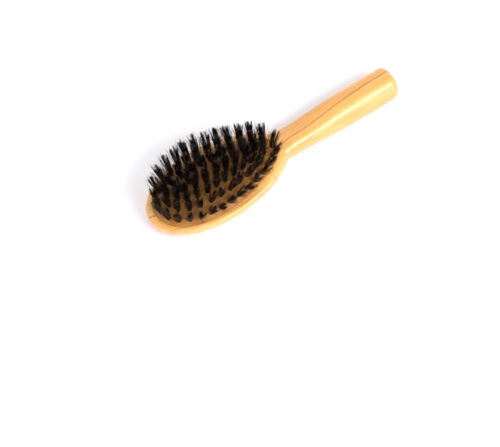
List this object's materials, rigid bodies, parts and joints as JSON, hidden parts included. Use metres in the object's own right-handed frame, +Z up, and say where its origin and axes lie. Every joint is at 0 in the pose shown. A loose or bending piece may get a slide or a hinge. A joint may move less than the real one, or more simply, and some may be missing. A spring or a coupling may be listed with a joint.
{
  "type": "hairbrush",
  "caption": "Oval air-cushion hairbrush in one piece of olive wood, with a domed rubber cushion and rings of dark bristle tufts.",
  "frame": {"origin": "under the middle of the brush's length and width, on the plane that its back rests on", "axes": "+X from the head's tip to the end of the handle, +Z up through the bristles, +Y to the left of the handle's end seen from the tip"},
  "size_m": [0.169, 0.0508, 0.0359],
  "materials": {
    "olive_wood": "oiled olive wood, satin, with darker flowing grain lines",
    "natural_rubber": "translucent golden-brown natural rubber, soft sheen",
    "boar_bristle": "black boar bristle, glossy strands in bundles",
    "anchor_wire": "bright drawn wire"
  },
  "bodies": {
    "root": {"brush_body": "olive_wood", "air_cushion": "natural_rubber"},
    "outer_ring": {"bristles_outer_tip_left": "boar_bristle", "pins_outer_tip_left": "anchor_wire", "bristles_outer_heel_left": "boar_bristle", "pins_outer_heel_left": "anchor_wire", "bristles_outer_heel_right": "boar_bristle", "pins_outer_heel_right": "anchor_wire", "bristles_outer_tip_right": "boar_bristle", "pins_outer_tip_right": "anchor_wire"},
    "middle_ring": {"bristles_middle_tip_left": "boar_bristle", "pins_middle_tip_left": "anchor_wire", "bristles_middle_heel_left": "boar_bristle", "pins_middle_heel_left": "anchor_wire", "bristles_middle_heel_right": "boar_bristle", "pins_middle_heel_right": "anchor_wire", "bristles_middle_tip_right": "boar_bristle", "pins_middle_tip_right": "anchor_wire"},
    "inner_ring": {"bristles_inner_tip_left": "boar_bristle", "pins_inner_tip_left": "anchor_wire", "bristles_inner_heel_left": "boar_bristle", "pins_inner_heel_left": "anchor_wire", "bristles_inner_heel_right": "boar_bristle", "pins_inner_heel_right": "anchor_wire", "bristles_inner_tip_right": "boar_bristle", "pins_inner_tip_right": "anchor_wire"},
    "centre_row": {"bristles_centre": "boar_bristle", "pins_centre": "anchor_wire"}
  },
  "joints": [
    {"name": "cushion_press", "type": "slide", "parent": "root", "child": "centre_row", "axis": [0, 0, -1], "range_m": [0, 0.0035], "stiffness_N_per_m": 1500, "deforming": ["air_cushion"]},
    {"name": "outer_ring_sink", "type": "slide", "parent": "root", "child": "outer_ring", "axis": [0, 0, -1], "range_m": [0, 0.00111], "stiffness_N_per_m": 600},
    {"name": "middle_ring_sink", "type": "slide", "parent": "root", "child": "middle_ring", "axis": [0, 0, -1], "range_m": [0, 0.00244], "stiffness_N_per_m": 600},
    {"name": "inner_ring_sink", "type": "slide", "parent": "root", "child": "inner_ring", "axis": [0, 0, -1], "range_m": [0, 0.00324], "stiffness_N_per_m": 600}
  ],
  "couplings": [
    {"joint": "outer_ring_sink", "follows": "cushion_press", "ratio": 0.31},
    {"joint": "middle_ring_sink", "follows": "cushion_press", "ratio": 0.69},
    {"joint": "inner_ring_sink", "follows": "cushion_press", "ratio": 0.92}
  ]
}
